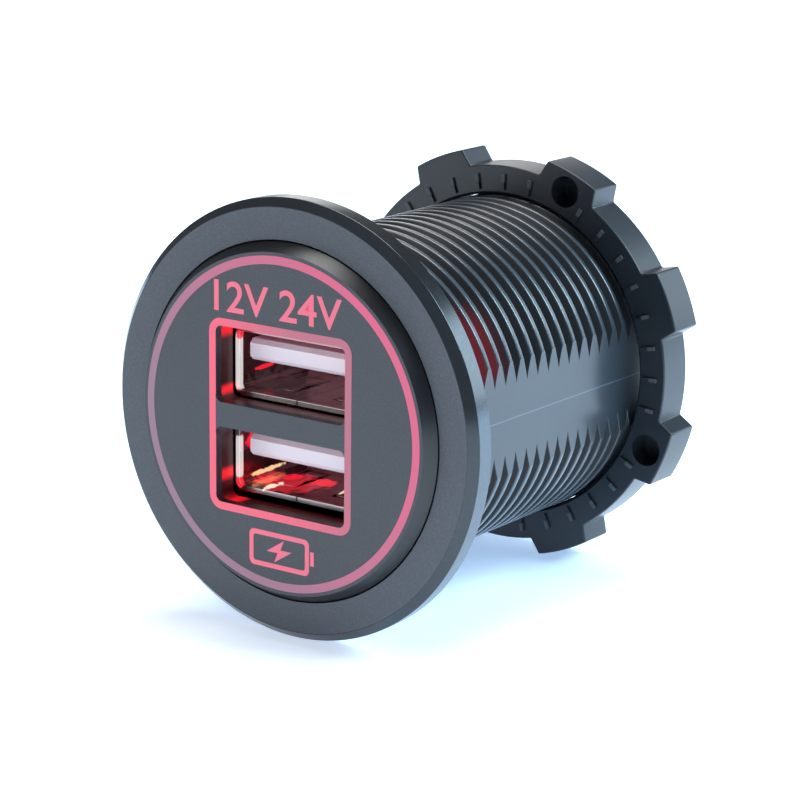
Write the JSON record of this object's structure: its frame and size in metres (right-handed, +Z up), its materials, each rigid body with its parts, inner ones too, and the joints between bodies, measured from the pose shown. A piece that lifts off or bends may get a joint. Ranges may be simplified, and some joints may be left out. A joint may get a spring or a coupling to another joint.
{
  "type": "dual usb charging socket",
  "caption": "Round panel socket with two charging ports in a lit face, a metal bezel, a threaded barrel with flats and a ring nut behind the panel.",
  "frame": {"origin": "on the axis, in the plane of the bezel's back face, where it seats on the panel", "axes": "+Y along the barrel to the rear, +Z up with the ports one above the other, +X to the right as seen from the front"},
  "size_m": [0.037, 0.047, 0.037],
  "materials": {
    "bezel_metal": "blasted face with a polished chamfer",
    "face_plastic": "satin face, glossy slope",
    "lit_line": "translucent, lit red",
    "light_guide": "clear guide, lit red",
    "barrel_plastic": "moulded, fine grain",
    "shell_metal": "nickel plated sheet",
    "tongue_plastic": "white moulded insulator",
    "contact_metal": "gold plated",
    "board": "green board",
    "lamp": "white package",
    "component_plastic": "black moulded",
    "can_metal": "satin can",
    "terminal_metal": "tinned blade",
    "nut_plastic": "moulded, fine grain"
  },
  "bodies": {
    "socket": {"trim_ring": "bezel_metal", "face_plate": "face_plastic", "light_ring": "lit_line", "light_frame": "lit_line", "light_guide": "light_guide", "barrel": "barrel_plastic", "upper_port_shell": "shell_metal", "lower_port_shell": "shell_metal", "upper_port_tongue": "tongue_plastic", "lower_port_tongue": "tongue_plastic", "upper_port_contacts": "contact_metal", "lower_port_contacts": "contact_metal", "port_board": "board", "leds": "lamp", "header_pins": "contact_metal", "header_blocks": "component_plastic", "power_board": "board", "inductors": "component_plastic", "capacitors": "can_metal", "controller_chips": "component_plastic", "chip_resistors": "component_plastic", "positive_terminal": "terminal_metal", "negative_terminal": "terminal_metal", "rear_cap": "barrel_plastic"},
    "nut": {"ring_nut": "nut_plastic"}
  },
  "joints": [
    {"name": "nut_travel", "type": "slide", "parent": "socket", "child": "nut", "axis": [0, 1, 0], "range_m": [-0.0275, 0.002]}
  ]
}
